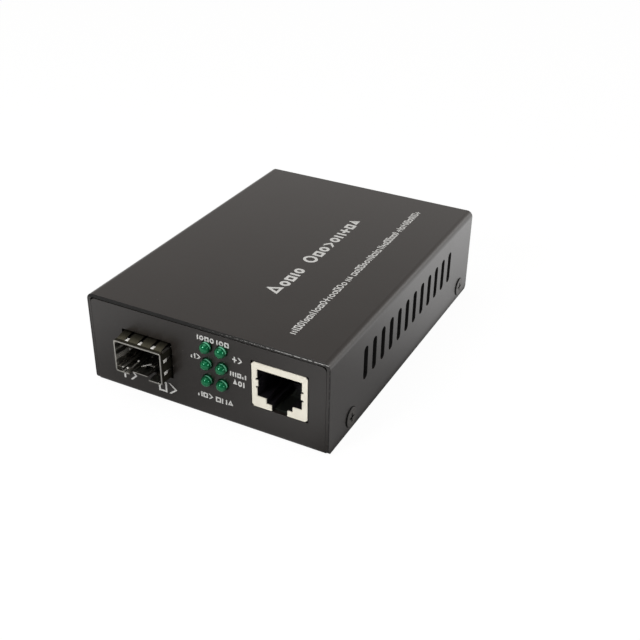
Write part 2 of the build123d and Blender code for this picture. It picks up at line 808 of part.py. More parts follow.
def make_dc_jack_housing():
    """The moulded power inlet: a block on the board with a round nose in the back panel."""
    x = inlet_middle_x
    half = inlet_width / 2
    top = board_top + inlet_height
    body = block((x - half, inlet_front, board_top), (x + half, inlet_shoulder, top))
    body = chamfer(body.edges().filter_by(Axis.Y).group_by(Axis.Z)[-1], inlet_chamfer)
    nose = rod((x, inlet_shoulder, inlet_middle_z), "Y", inlet_nose_radius, back_y - inlet_shoulder)
    bore_start = (x, inlet_bore_end, inlet_middle_z)
    bore = rod(bore_start, "Y", inlet_bore_radius, inlet_bore_depth + cut_past)
    pin_start = (x, inlet_front - cut_past, inlet_middle_z)
    pin_hole = rod(pin_start, "Y", inlet_pin_shank_radius + inlet_pin_clearance, inlet_depth)
    groove_half = inlet_blade_width / 2 + inlet_groove_side_gap
    groove_floor = inlet_middle_z - inlet_bore_radius - inlet_groove_depth
    groove_low = (x - groove_half, inlet_bore_end, groove_floor)
    groove = block(groove_low, (x + groove_half, inlet_shoulder, inlet_middle_z))
    slot_back = inlet_contact_leg_y + inlet_blade_sheet / 2 + leg_clearance
    slot_low = (x - groove_half, inlet_bore_end, board_top - cut_past)
    slot = block(slot_low, (x + groove_half, slot_back, groove_floor))
    return body + nose - [bore, pin_hole, groove, slot]


def make_dc_jack_pin():
    """The inlet's centre pin on a thicker shank through the moulding, with a blade down to the board."""
    x = inlet_middle_x
    z = inlet_middle_z
    start = inlet_front - inlet_blade_sheet
    pin = rod((x, inlet_bore_end, z), "Y", inlet_pin_radius, inlet_pin_length)
    pin = fillet(pin.edges().sort_by(Axis.Y)[-1], inlet_pin_round)
    shank = rod((x, start, z), "Y", inlet_pin_shank_radius, inlet_bore_end - start)
    half = inlet_blade_width / 2
    blade_low = (x - half, start, board_bottom - leg_tip)
    return pin + shank + block(blade_low, (x + half, inlet_front, z + half))


def make_dc_jack_contact():
    """A flat contact in the floor of the inlet's bore, with a leg down to the board."""
    x = inlet_middle_x
    half = inlet_blade_width / 2
    floor = inlet_middle_z - inlet_bore_radius - inlet_groove_depth
    top = floor + inlet_blade_sheet
    blade_end = inlet_shoulder - inlet_blade_setback
    blade = block((x - half, inlet_bore_end, floor), (x + half, blade_end, top))
    leg_low = (x - half, inlet_bore_end, board_bottom - leg_tip)
    return blade + block(leg_low, (x + half, inlet_bore_end + inlet_blade_sheet, top))


def make_package(x, y, width, depth, height, pitch, side_leads, end_leads):
    """A moulded chip with bent leads along its sides and ends, standing on the board."""
    body_low = (x - width / 2, y - depth / 2, board_top + lead_frame_sheet / 2)
    body = block(body_low, (x + width / 2, y + depth / 2, board_top + height))
    leads = []
    for count, reach, turn in ((side_leads, width / 2, 0), (end_leads, depth / 2, 90)):
        for side in (0, 180):
            place = Pos(x, y, board_top) * Rot(0, 0, turn + side)
            leads += [place * bent_lead(reach, offset, pitch / 2, height) for offset in spread(count, pitch)]
    return body + leads


def bent_lead(reach, offset, width, height):
    """One lead that leaves a chip's +X side at half its height and steps down to the board."""
    middle = height / 2
    sheet = lead_frame_sheet
    step = reach + lead_frame_reach / 2
    half = width / 2
    shoulder = block((reach - sheet, offset - half, middle - sheet), (step, offset + half, middle))
    drop = block((step - sheet, offset - half, 0), (step, offset + half, middle))
    foot = block((step - sheet, offset - half, 0), (reach + lead_frame_reach, offset + half, sheet))
    return shoulder + drop + foot


def make_converter_chip():
    """The square chip that turns one kind of signal into the other."""
    y = front_y + converter_chip_from_front
    size = converter_chip_size
    leads = converter_chip_lead_count
    return make_package(converter_chip_x, y, size, size, chip_height, fine_pitch, leads, leads)


def make_memory_chip():
    """The small eight-lead settings chip, behind the cage."""
    y = cage_back + memory_chip_behind_cage
    leads = memory_chip_lead_count
    width = memory_chip_width
    return make_package(cage_middle_x, y, width, memory_chip_depth, chip_height, coarse_pitch, leads, 0)


def transformer_x():
    """The middle of the transformer, a little to the left of the jack's."""
    return jack_middle_x - transformer_left_of_jack


def make_line_transformer():
    """The line transformer between the jack and the chip."""
    y = jack_back + transformer_behind_jack + transformer_depth / 2
    width = transformer_width
    height = transformer_height
    leads = transformer_lead_count
    return make_package(transformer_x(), y, width, transformer_depth, height, coarse_pitch, leads, 0)


def make_crystal():
    """The can of the clock crystal, with its rolled lip, midway between the cage and the transformer."""
    can = extrude(SlotOverall(crystal_length, crystal_width, rotation=90), amount=crystal_height)
    can = fillet(can.faces().sort_by(Axis.Z)[-1].edges(), crystal_edge_round)
    grown = 2 * crystal_lip
    outline = SlotOverall(crystal_length + grown, crystal_width + grown, rotation=90)
    lip = extrude(outline, amount=crystal_lip)
    cage_side = cage_middle_x + cage_width / 2
    transformer_side = transformer_x() - transformer_width / 2 - lead_frame_reach
    x = (cage_side + transformer_side) / 2
    return Pos(x, front_y + crystal_from_front, board_top) * (can + lip)


def make_voltage_regulator():
    """A regulator with three leads on one side and a cooling tab on the other."""
    half_x = regulator_width / 2
    half_y = regulator_depth / 2
    place = Pos(regulator_x, back_y - supply_row_from_back, board_top)
    body = block((-half_x, -half_y, lead_frame_sheet / 2), (half_x, half_y, regulator_height))
    leads = []
    for offset in spread(regulator_lead_count, regulator_pitch):
        leads.append(Rot(0, 0, -90) * bent_lead(half_y, offset, regulator_lead_width, regulator_height))
    leads.append(Rot(0, 0, 90) * bent_lead(half_y, 0, regulator_tab_width, regulator_height))
    return place * (body + leads)


def make_power_inductor():
    """A square shielded coil with rounded corners and a shallow dish in its top."""
    half = inductor_size / 2
    body = block((-half, -half, 0), (half, half, inductor_height))
    body = fillet(body.edges().filter_by(Axis.Z), inductor_corner)
    dish_start = (0, 0, inductor_height - inductor_dish_depth)
    body -= rod(dish_start, "Z", inductor_dish_radius, inductor_dish_depth + cut_past)
    return Pos(inductor_x, back_y - supply_row_from_back, board_top) * body


def make_capacitor(x):
    """An aluminium can on a square base, with a groove near its foot."""
    base_half = capacitor_radius + capacitor_base_lip
    base = block((-base_half, -base_half, 0), (base_half, base_half, capacitor_base_height))
    can_height = capacitor_height - capacitor_base_height
    can = rod((0, 0, capacitor_base_height), "Z", capacitor_radius, can_height)
    can = fillet(can.edges().sort_by(Axis.Z)[-1], capacitor_edge_round)
    ring = Torus(capacitor_radius + capacitor_groove_outset, capacitor_groove_radius)
    groove = Pos(0, 0, capacitor_groove_height) * ring
    return Pos(x, back_y - capacitor_row_from_back, board_top) * (base + can - groove)


os.makedirs("parts", exist_ok=True)
save("top_cover", [make_top_cover()])
save("base_chassis", [make_base_chassis()])
save("cover_screws", [make_cover_screw(*place) for place in case_screw_places()])
save("board_standoffs", [make_standoff(*place) for place in standoff_places()])
save("board_screws", [make_board_screw(*place) for place in standoff_places()])
save("main_board", [make_main_board()])
save("sfp_cage", [make_sfp_cage()])
save("emi_spring_collar", [make_emi_spring_collar()])
save("sfp_connector_housing", [make_connector_housing()])
save("sfp_connector_contacts", make_connector_contacts())
save("rj45_housing", [make_rj45_housing()])
save("rj45_contacts", make_rj45_contacts())
for lamp_name, lamp_place in lamp_places().items():
    save(lamp_name, [make_lamp(*lamp_place)])
save("led_holder", [make_led_holder()])
save("led_leads", make_led_leads())
save("dc_jack_housing", [make_dc_jack_housing()])
save("dc_jack_pin", [make_dc_jack_pin()])
save("dc_jack_contact", [make_dc_jack_contact()])
save("converter_chip", [make_converter_chip()])
save("memory_chip", [make_memory_chip()])
save("line_transformer", [make_line_transformer()])
save("crystal", [make_crystal()])
save("voltage_regulator", [make_voltage_regulator()])
save("power_inductor", [make_power_inductor()])
save("electrolytic_capacitors", [make_capacitor(capacitor_left_x), make_capacitor(capacitor_right_x)])
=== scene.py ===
# %% [markdown]
# A fibre media converter: a small black steel box that joins a copper network line to an optical one.
# The box, its screws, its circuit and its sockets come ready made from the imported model. This lesson
# gives them their finishes and adds what is too fine for the construction: the white print, the lamp
# lenses, the barbs and dents of the cage, and the wear.

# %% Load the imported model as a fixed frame
import math
import random
import bmesh
import bpy
from mathutils import Matrix, Quaternion, Vector


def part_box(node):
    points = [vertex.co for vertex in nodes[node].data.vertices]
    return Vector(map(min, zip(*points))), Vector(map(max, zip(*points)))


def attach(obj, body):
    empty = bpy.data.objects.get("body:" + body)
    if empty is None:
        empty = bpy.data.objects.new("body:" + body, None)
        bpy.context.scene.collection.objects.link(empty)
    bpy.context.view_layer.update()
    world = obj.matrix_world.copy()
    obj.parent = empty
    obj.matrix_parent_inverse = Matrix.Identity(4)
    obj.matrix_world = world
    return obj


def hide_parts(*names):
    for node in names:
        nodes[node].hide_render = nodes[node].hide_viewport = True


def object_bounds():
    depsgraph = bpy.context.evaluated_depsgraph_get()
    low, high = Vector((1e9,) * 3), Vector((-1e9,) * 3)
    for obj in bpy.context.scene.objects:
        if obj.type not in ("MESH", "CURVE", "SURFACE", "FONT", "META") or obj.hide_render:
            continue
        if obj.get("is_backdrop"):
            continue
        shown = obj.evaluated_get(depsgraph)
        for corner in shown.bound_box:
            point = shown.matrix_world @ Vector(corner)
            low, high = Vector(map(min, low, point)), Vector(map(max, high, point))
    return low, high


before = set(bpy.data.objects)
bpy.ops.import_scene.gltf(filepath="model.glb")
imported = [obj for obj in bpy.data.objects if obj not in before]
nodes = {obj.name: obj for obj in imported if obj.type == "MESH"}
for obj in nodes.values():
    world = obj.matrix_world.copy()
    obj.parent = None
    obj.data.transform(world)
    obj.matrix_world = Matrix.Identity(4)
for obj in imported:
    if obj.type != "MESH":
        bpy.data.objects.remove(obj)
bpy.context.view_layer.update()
MM = 0.001
print("nodes in the frame:", len(nodes))

# %% [markdown]
# The camera comes first, because every later look is judged through it. It stands in front of the box's
# right corner and above it. An orbit camera is easiest to set by what it looks at, two angles, a
# distance and a small roll, and the lens then fixes how large the box is in the picture.

# %% Place the camera
look_at = Vector((13.714, -11.426, 13.25)) * MM
azimuth = math.radians(26.895)
elevation = math.radians(31.112)
roll = math.radians(0.95)
distance = 264.523 * MM
backwards = Vector(
    (
        math.sin(azimuth) * math.cos(elevation),
        -math.cos(azimuth) * math.cos(elevation),
        math.sin(elevation),
    )
)
camera_data = bpy.data.cameras.new("camera")
camera_data.lens = 54.851
camera_data.clip_start = 0.01
camera = bpy.data.objects.new("camera", camera_data)
camera.rotation_mode = "QUATERNION"
camera.location = look_at + backwards * distance
camera.rotation_quaternion = (-backwards).to_track_quat("-Z", "Y") @ Quaternion((0, 0, 1), roll)
bpy.context.scene.collection.objects.link(camera)
bpy.context.scene.camera = camera
print("camera in mm:", [round(v / MM, 1) for v in camera.location])

# %% [markdown]
# A finish is a material whose values come from noise, masks and the place on the piece. Written as raw
# nodes it soon becomes unreadable, so one small class wraps a socket and gives it the usual arithmetic
# signs. Each sign adds one Math node. Colours never pass through a Math node, because it would turn
# them grey.

# %% Shader arithmetic
class Value:
    """One output of a graph's nodes, which can be used in an ordinary expression."""

    def __init__(self, graph, socket):
        self.graph = graph
        self.socket = socket

    def math(self, operation, first, second=0.0):
        return self.graph.node("ShaderNodeMath", {"operation": operation}, {0: first, 1: second})

    def __add__(self, other):
        return self.math("ADD", self, other)

    def __radd__(self, other):
        return self.math("ADD", other, self)

    def __sub__(self, other):
        return self.math("SUBTRACT", self, other)

    def __rsub__(self, other):
        return self.math("SUBTRACT", other, self)

    def __mul__(self, other):
        return self.math("MULTIPLY", self, other)

    def __rmul__(self, other):
        return self.math("MULTIPLY", other, self)

    def __mod__(self, other):
        return self.math("MODULO", self, other)

    def __gt__(self, other):
        return self.math("GREATER_THAN", self, other)

    def __lt__(self, other):
        return self.math("LESS_THAN", self, other)

    def __abs__(self):
        return self.math("ABSOLUTE", self)

    def upto(self, other):
        return self.math("MINIMUM", self, other)

    def also(self, output):
        """Another output of the same node."""
        return Value(self.graph, self.socket.node.outputs[output])


# %% [markdown]
# One method adds every node that isn't plain arithmetic. It takes the node's type, then its settings,
# then the values or links of its sockets, in that order, because some settings change which sockets a
# node has. The world has nodes too, so the method lives in a class of its own, and materials build on
# it.

# %% Graph: the nodes of a world or a material
class Graph:
    """A node tree under construction."""

    def __init__(self, owner):
        owner.use_nodes = True
        self.tree = owner.node_tree

    def node(self, kind, settings=None, inputs=None, output=0):
        made = self.tree.nodes.new(kind)
        for name, value in (settings or {}).items():
            if name == "stops":
                stops = made.color_ramp.elements
                while len(stops) < len(value):
                    stops.new(1.0)
                for stop, (position, colour) in zip(stops, value):
                    stop.position = position
                    stop.color = (*colour, 1.0)
            else:
                setattr(made, name, value)
        for name, value in (inputs or {}).items():
            self.feed(made.inputs[name], value)
        return Value(self, made.outputs[output])

    def feed(self, socket, value):
        if isinstance(value, Value):
            self.tree.links.new(value.socket, socket)
        elif socket.type == "RGBA" and len(value) == 3:
            socket.default_value = (*value, 1.0)
        else:
            socket.default_value = value

    def split(self, vector):
        """The x, y and z of a vector."""
        x = self.node("ShaderNodeSeparateXYZ", {}, {0: vector})
        return x, x.also("Y"), x.also("Z")

    def smooth(self, value, start, end):
        """0 up to start, 1 from end, and smooth between them."""
        return self.node(
            "ShaderNodeMapRange",
            {"interpolation_type": "SMOOTHSTEP"},
            {"Value": value, "From Min": start, "From Max": end},
        )

    def between(self, value, low, high, edge):
        """1 where value is between low and high, fading over edge."""
        risen = self.smooth(value, low - edge, low + edge)
        fallen = self.smooth(value, high - edge, high + edge)
        return risen * (1 - fallen)

    def mix(self, mask, first, second):
        """The first colour where mask is 0, the second where it is 1."""
        return self.node("ShaderNodeMix", {"data_type": "RGBA"}, {0: mask, 6: first, 7: second}, output=2)

    def ramp(self, factor, *stops):
        return self.node("ShaderNodeValToRGB", {"stops": stops}, {"Fac": factor})


# %% [markdown]
# Every finish reads Object coordinates. The pieces all sit at the origin with their place in their
# mesh, so these are plain positions in metres, the same for the whole box. The class turns them into
# millimetres, which keeps the sizes of grains and specks readable.

# %% Finish: a material and the few calls that build it
class Finish(Graph):
    """A material under construction."""

    def __init__(self, name, **constants):
        self.material = bpy.data.materials.new(name)
        super().__init__(self.material)
        self.shader = self.tree.nodes["Principled BSDF"]
        self.output = self.tree.nodes["Material Output"]
        self.set(**constants)
        metres = self.node("ShaderNodeTexCoord", output="Object")
        self.place = self.node("ShaderNodeVectorMath", {"operation": "SCALE"}, {0: metres, "Scale": 1 / MM})
        self.x, self.y, self.z = self.split(self.place)

    def set(self, **values):
        """Sets or links sockets of the shader. An underscore in a name stands for the space."""
        for name, value in values.items():
            self.feed(self.shader.inputs[name.replace("_", " ")], value)

    def noise(self, size, detail=2.0, roughness=0.5, stretch=(1.0, 1.0, 1.0), shift=0.0):
        """Soft random grains about size millimetres across, longer along an axis whose stretch is large."""
        scale = tuple(1.0 / part for part in stretch)
        where = self.node(
            "ShaderNodeMapping",
            {},
            {"Vector": self.place, "Location": (shift, shift, shift), "Scale": scale},
        )
        return self.node(
            "ShaderNodeTexNoise",
            {},
            {"Vector": where, "Scale": 1 / size, "Detail": detail, "Roughness": roughness},
        )

    def specks(self, spacing, radius, share, shift=0.0):
        """1 inside small round specks. Only that share of the cells, each spacing wide, has one."""
        where = self.node(
            "ShaderNodeMapping",
            {},
            {"Vector": self.place, "Location": (shift, shift, shift)},
        )
        cell = self.node("ShaderNodeTexVoronoi", {}, {"Vector": where, "Scale": 1 / spacing})
        pick = self.node("ShaderNodeSeparateColor", {}, {0: cell.also("Color")})
        return (cell < radius / spacing) * (pick < share)

    def facing(self):
        """The x, y and z of the surface's own direction."""
        return self.split(self.node("ShaderNodeNewGeometry", output="True Normal"))

    def rounded(self, radius):
        """Normals that make sharp edges look rounded, as on folded, plated or painted metal."""
        return self.node("ShaderNodeBevel", {"samples": 6}, {"Radius": radius * MM})

    def relief(self, height, depth, under=None):
        """Bumps of that depth in millimetres, on top of the normals under them."""
        inputs = {"Height": height, "Distance": depth * MM, "Strength": 1.0}
        if under is not None:
            inputs["Normal"] = under
        self.set(Normal=self.node("ShaderNodeBump", {}, inputs))

    def put_on(self, *names):
        """Gives the finish to nodes of the frame."""
        for name in names:
            for slot in nodes[name].material_slots:
                slot.link = "OBJECT"
                slot.material = self.material
        print(self.material.name, "on", ", ".join(names))


# %% [markdown]
# The case is sheet steel under a black baked powder paint. Such paint isn't a flat colour: it has a
# fine orange peel that breaks up reflections, faint clouds, and light dust that sticks to it. The
# relief is real bump at the right scale, half a millimetre, and the specks come from sparse Voronoi
# cells.

# %% Black powder paint
front_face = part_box("base_chassis")[0].y / MM
cover_side, _, cover_top = [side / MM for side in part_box("top_cover")[1]]
fresh_paint = (0.0135, 0.0105, 0.0090)
faded_paint = (0.0190, 0.0160, 0.0140)
dust_grey = (0.50, 0.49, 0.46)
dust_cover = 0.45
peel_size = 0.42
peel_depth = 0.008
print("cover's side and top in mm:", round(cover_side, 2), round(cover_top, 2))


def powder_paint(name):
    """The paint, with its colour and its roughness, so that wear can go over them."""
    paint = Finish(name, Specular_IOR_Level=0.5)
    clouds = paint.noise(14.0, detail=4.0)
    grain = paint.noise(peel_size, detail=3.0, roughness=0.6)
    pores = paint.noise(0.16, detail=1.0)
    dust = paint.specks(3.4, 0.10, 0.22) + paint.specks(7.0, 0.15, 0.20, shift=31.0)
    dust = dust * (paint.noise(22.0, shift=9.0) > 0.50)
    clean = paint.mix(clouds, fresh_paint, faded_paint)
    colour = paint.mix(dust.upto(1.0) * dust_cover, clean, dust_grey)
    rough = 0.27 + 0.08 * grain + 0.06 * clouds
    paint.relief(grain + 0.4 * pores, peel_depth, paint.rounded(0.12))
    return paint, colour, rough


base_paint, base_colour, base_rough = powder_paint("base_paint")
base_paint.set(Base_Color=base_colour, Roughness=base_rough)
base_paint.put_on("base_chassis")

# %% [markdown]
# Where the cover was cut, along its ends and inside the vent slots, the paint is thin and dull, and the
# cut faces are painted almost black as painted shade, most of all inside the slots and in a band over the
# panel that fades towards the right. Its front end also has a burr of bare steel, painted brighter
# towards the right as a painted highlight. The masks are made from the place on the piece and from where
# its faces point, and broken up by noise.

# %% Cut ends with painted shade, and the worn front end with its painted highlight
cut_and_shade_black = (0.0030, 0.0028, 0.0026)
bare_steel_and_highlight = (0.48, 0.48, 0.47)
light_and_wear_from = -8.0
light_and_wear_to = 32.0
bare_and_highlight_from = -4.0

cover_paint, cover_colour, cover_rough = powder_paint("cover_paint")
x, y, z = cover_paint.x, cover_paint.y, cover_paint.z
rightwards = cover_paint.smooth(x, light_and_wear_from, light_and_wear_to)
front_end = y < front_face + 0.04
over_panel = cover_paint.smooth(z, cover_top - 1.25, cover_top - 0.95)
side_line = cover_paint.between(abs(x), cover_side - 0.38, cover_side - 0.10, 0.05)
side_line = side_line * (cover_paint.noise(0.7, shift=5.0) > 0.40)
# Painted shade on the front end: a dark band over the panel that fades towards the right, and a dark line
# near each side.
end_shade = (over_panel * (1 - 0.55 * rightwards) + 0.8 * side_line * (1 - over_panel)).upto(1.0)
# Cut faces are dull, and their near-black colour is painted shade, most of all inside the vent slots.
cut = cover_paint.smooth(abs(cover_paint.facing()[1]), 0.3, 0.6) * (1 - front_end * (1 - end_shade))

strip = cover_paint.between(z, cover_top - 0.60, cover_top - 0.38, 0.05) * front_end
flakes = cover_paint.noise(0.50, detail=3.0, roughness=0.7, stretch=(1.5, 1.0, 1.0))
# The burr's bare steel is painted brighter towards the right, which is a painted highlight.
worn_and_highlight = strip * (flakes > (0.58 - 0.12 * rightwards)) * (0.10 + 0.80 * rightwards) * (x > bare_and_highlight_from)
cover_paint.set(
    Base_Color=cover_paint.mix(worn_and_highlight, cover_paint.mix(cut, cover_colour, cut_and_shade_black), bare_steel_and_highlight),
    Roughness=cover_rough + 0.45 * cut,
)
cover_paint.put_on("top_cover")

# %% [markdown]
# The four cover screws are blackened steel, a little smoother than the paint. Their rims and cross
# recesses, all but the faces that point straight out, are painted almost black as painted shade.

# %% Blackened screws
screw_black = Finish("blackened_steel", Specular_IOR_Level=0.5)
screw_grain = screw_black.noise(0.5, detail=3.0)
side_out = abs(screw_black.facing()[0])
crest = screw_black.smooth(side_out, 0.6, 0.95)
screw_base = screw_black.mix(screw_grain, (0.020, 0.018, 0.016), (0.050, 0.044, 0.038))
screw_black.set(
    # Faces that don't point straight out, the rims and the cross recess, get painted shade.
    Base_Color=screw_black.mix(crest, (0.0025, 0.0025, 0.0025), screw_base),
    Roughness=0.34 + 0.18 * screw_grain,
)
screw_black.relief(screw_grain, 0.006, screw_black.rounded(0.06))
screw_black.put_on("cover_screws")

# %% [markdown]
# The cage is pressed from bright plated steel, and its rolled surface has long fine streaks from front
# to back. The posts, leads, contacts and cans behind it are bright metals too. A metal takes its look
# from what it mirrors, so its colour hardly changes and its roughness does the work.

# %% Plated metals
streak_size = 0.28
drawn_long = (1.0, 18.0, 1.0)


def rolled(metal, rough, stretch=drawn_long):
    """Gives a metal the streaks of rolling, and returns them alone and with smears over them."""
    streaks = metal.noise(streak_size, detail=3.0, roughness=0.6, stretch=stretch)
    smears = metal.noise(5.0, detail=3.0, shift=4.0)
    mask = 0.6 * streaks + 0.4 * smears
    metal.set(Roughness=rough + 0.16 * (1 - mask))
    metal.relief(streaks, 0.004, metal.rounded(0.05))
    return streaks, mask


def plated(name, colour, dull, rough, stretch=drawn_long):
    """A plated metal, a little duller and rougher in patches."""
    metal = Finish(name, Metallic=1.0)
    mask = rolled(metal, rough, stretch)[1]
    metal.set(Base_Color=metal.mix(mask, dull, colour))
    return metal


plated("post_steel", (0.66, 0.64, 0.58), (0.44, 0.42, 0.38), 0.24, (1.0, 1.0, 6.0)).put_on(
    "board_standoffs", "board_screws", "crystal", "dc_jack_pin", "dc_jack_contact"
)
plated("tinned_wire", (0.75, 0.74, 0.70), (0.50, 0.49, 0.46), 0.22, (1.0, 6.0, 1.0)).put_on("led_leads")
plated("gold_plate", (0.95, 0.66, 0.26), (0.66, 0.42, 0.15), 0.20).put_on(
    "rj45_contacts", "sfp_connector_contacts"
)
plated("can_aluminium", (0.80, 0.80, 0.79), (0.52, 0.52, 0.52), 0.24, (1.0, 1.0, 8.0)).put_on(
    "electrolytic_capacitors"
)

# %% [markdown]
# The cage is painted darker deep inside than at its mouth, as painted shade. It also has a few long
# scrapes, where the plating is matt and less of a mirror. A mask of the place keeps both to the inside,
# so that the roof and the outside of the walls stay bright.

# %% The cage's own steel
cage_low, cage_high = [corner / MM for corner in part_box("sfp_cage")]
cage_middle_x = (cage_low.x + cage_high.x) / 2
cage_half = (cage_high.x - cage_low.x) / 2
wall_skin = 0.1
scraped_share = 0.40
shade_share = 0.25

cage_steel = Finish("cage_steel")
cage_streaks = rolled(cage_steel, 0.20)[0]
long_scrapes = cage_steel.noise(1.1, detail=2.0, stretch=(1.0, 12.0, 1.0), shift=7.0)
under_roof = cage_steel.z < cage_high.z - wall_skin
within = under_roof * (abs(cage_steel.x - cage_middle_x) < cage_half - wall_skin)
# Deep inside, the steel's colour is painted darker as painted shade.
shade_inward = within * cage_steel.smooth(cage_steel.y, cage_low.y + 0.2, cage_low.y + 2.2)
cage_bright = cage_steel.mix(cage_streaks, (0.40, 0.39, 0.35), (0.60, 0.58, 0.54))
cage_steel.set(
    Base_Color=cage_steel.mix(shade_share * shade_inward, cage_bright, (0.10, 0.092, 0.080)),
    Metallic=1 - scraped_share * cage_steel.smooth(long_scrapes, 0.53, 0.62) * within,
)
cage_steel.put_on("sfp_cage")

# %% [markdown]
# The sprung collar is a thin strip of dull spring steel. Its fingers are dark and oily, and painted darker
# still towards the panel as painted shade. The band's raw front end was cut after plating and shines as
# brightly as the cage's own rim beside it, so the two make one bright frame round the mouth.

# %% Dull sprung collar with a bright front end
collar_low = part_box("emi_spring_collar")[0].y / MM
collar_steel = Finish("collar_steel", Metallic=1.0)
collar_streaks = collar_steel.noise(0.35, detail=3.0, roughness=0.6, stretch=(1.0, 10.0, 1.0))
collar_smears = collar_steel.noise(2.5, detail=3.0, shift=3.0)
collar_mask = 0.5 * collar_streaks + 0.5 * collar_smears
oily_steel = collar_steel.mix(collar_mask, (0.045, 0.042, 0.027), (0.160, 0.148, 0.108))
# Towards the panel the fingers are painted darker as painted shade.
towards_panel = collar_steel.smooth(collar_steel.y, collar_low + 1.6, front_face)
oily_steel_with_shade = collar_steel.mix(0.45 * towards_panel, oily_steel, (0.012, 0.010, 0.008))
cut_end = 1 - collar_steel.smooth(collar_steel.y, collar_low + 0.04, collar_low + 0.10)
collar_steel.set(
    Base_Color=collar_steel.mix(cut_end, oily_steel_with_shade, (0.26, 0.255, 0.24)),
    Roughness=0.30 + 0.20 * (1 - collar_mask),
)
collar_steel.relief(collar_streaks, 0.004, collar_steel.rounded(0.04))
collar_steel.put_on("emi_spring_collar")

# %% [markdown]
# The network jack is moulded in an ivory plastic. Its cavity is deep and shows black, so the ivory
# ends a quarter of a millimetre behind the face and the jack is coloured near black behind it.

# %% Ivory face and dark cavity of the network jack
jack_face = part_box("rj45_housing")[0].y / MM
jack_plastic = Finish("jack_plastic", Specular_IOR_Level=0.45)
jack_clouds = jack_plastic.noise(4.0, detail=3.0)
jack_grain = jack_plastic.noise(0.25, detail=2.0)
ivory = jack_plastic.mix(jack_clouds, (0.80, 0.765, 0.65), (0.90, 0.865, 0.755))
ivory_end = jack_face + 0.28
inside = jack_plastic.smooth(jack_plastic.y, ivory_end - 0.06, ivory_end + 0.06)
jack_plastic.set(
    Base_Color=jack_plastic.mix(inside, ivory, (0.006, 0.005, 0.007)),
    Roughness=0.42 + 0.10 * jack_grain,
)
jack_plastic.relief(jack_grain, 0.006, jack_plastic.rounded(0.08))
jack_plastic.put_on("rj45_housing")

# %% [markdown]
# The plain plastics and the parts on the board are hardly ever seen from outside, yet each gets its own
# finish: moulded plastic, moulded chips and a sintered core differ only in colour, grain and sheen, so
# one function with a few values makes them all.

# %% Moulded plastics and the parts on the board
def moulding(name, dark, light, rough, grain_size=0.3, depth=0.008):
    """A moulded material with faint clouds and a fine grain."""
    plastic = Finish(name, Specular_IOR_Level=0.45)
    clouds = plastic.noise(6.0, detail=3.0)
    grain = plastic.noise(grain_size, detail=2.0)
    plastic.set(Base_Color=plastic.mix(clouds, dark, light), Roughness=rough + 0.12 * grain)
    plastic.relief(grain, depth, plastic.rounded(0.12))
    return plastic


moulding("black_plastic", (0.010, 0.010, 0.011), (0.020, 0.020, 0.021), 0.42).put_on(
    "led_holder", "dc_jack_housing", "sfp_connector_housing"
)
moulding("chip_epoxy", (0.014, 0.014, 0.015), (0.028, 0.027, 0.027), 0.55, 0.12, 0.010).put_on(
    "converter_chip", "memory_chip", "line_transformer", "voltage_regulator"
)
moulding("ferrite", (0.045, 0.045, 0.047), (0.085, 0.083, 0.080), 0.60, 0.20, 0.020).put_on(
    "power_inductor"
)

# %% [markdown]
# A circuit board shows its copper tracks as faint raised lines under the solder mask. The edges between
# Voronoi cells make a net of such lines, which is enough for a board that is only seen through slots.

# %% Black solder mask with copper tracks under it
track_pitch = 5.5
solder_mask = Finish("solder_mask", Coat_Weight=0.3, Coat_Roughness=0.12)
weave = solder_mask.noise(0.35, detail=2.0, stretch=(4.0, 1.0, 1.0))
track_cells = solder_mask.node(
    "ShaderNodeTexVoronoi",
    {"feature": "DISTANCE_TO_EDGE"},
    {"Vector": solder_mask.place, "Scale": 1 / track_pitch, "Randomness": 0.35},
)
tracks = 1 - solder_mask.smooth(track_cells, 0.05, 0.08)
solder_mask.set(
    Base_Color=solder_mask.mix(tracks, (0.007, 0.008, 0.007), (0.020, 0.024, 0.020)),
    Roughness=0.34 + 0.15 * weave,
)
solder_mask.relief(tracks + 0.3 * weave, 0.03)
solder_mask.put_on("main_board")

# %% [markdown]
# New pieces all end the same way: the bmesh becomes a mesh, the mesh an object at the origin, and the
# object rides on the case. A helper keeps that in one place.

# %% From a bmesh to a finished piece
def finished_piece(name, mesh, finish, sharp_from=40.0):
    """Turns a bmesh into an object with its finish. Edges sharper than that angle stay sharp."""
    data = bpy.data.meshes.new(name)
    mesh.to_mesh(data)
    mesh.free()
    data.materials.append(finish.material)
    data.shade_smooth()
    data.set_sharp_from_angle(angle=math.radians(sharp_from))
    piece = bpy.data.objects.new(name, data)
    bpy.context.scene.collection.objects.link(piece)
    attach(piece, "root")
    return piece


# %% [markdown]
# The six lamps are ordinary 3 mm light-emitting diodes: a bullet of green tinted epoxy with a small
# flange at its back. It could be put together from a half ball, a cylinder and a ring, but it is a
# turned shape, so a half outline spun once round its axis is the shortest way to a smooth one.

# %% Turn a half outline round an axis along Y
def turned(outline, centre, steps=48):
    """outline is (radius, y) in millimetres from tip to back, and centre the (x, z) of the axis."""
    mesh = bmesh.new()
    dots = [mesh.verts.new(Vector((centre[0] + radius, y, centre[1])) * MM) for radius, y in outline]
    lines = [mesh.edges.new(pair) for pair in zip(dots, dots[1:])]
    bmesh.ops.spin(
        mesh,
        geom=dots + lines,
        cent=Vector((centre[0], 0, centre[1])) * MM,
        axis=(0, 1, 0),
        angle=math.tau,
        steps=steps,
        use_merge=True,
    )
    bmesh.ops.remove_doubles(mesh, verts=mesh.verts, dist=0.0005 * MM)
    bmesh.ops.recalc_face_normals(mesh, faces=mesh.faces)
    return mesh
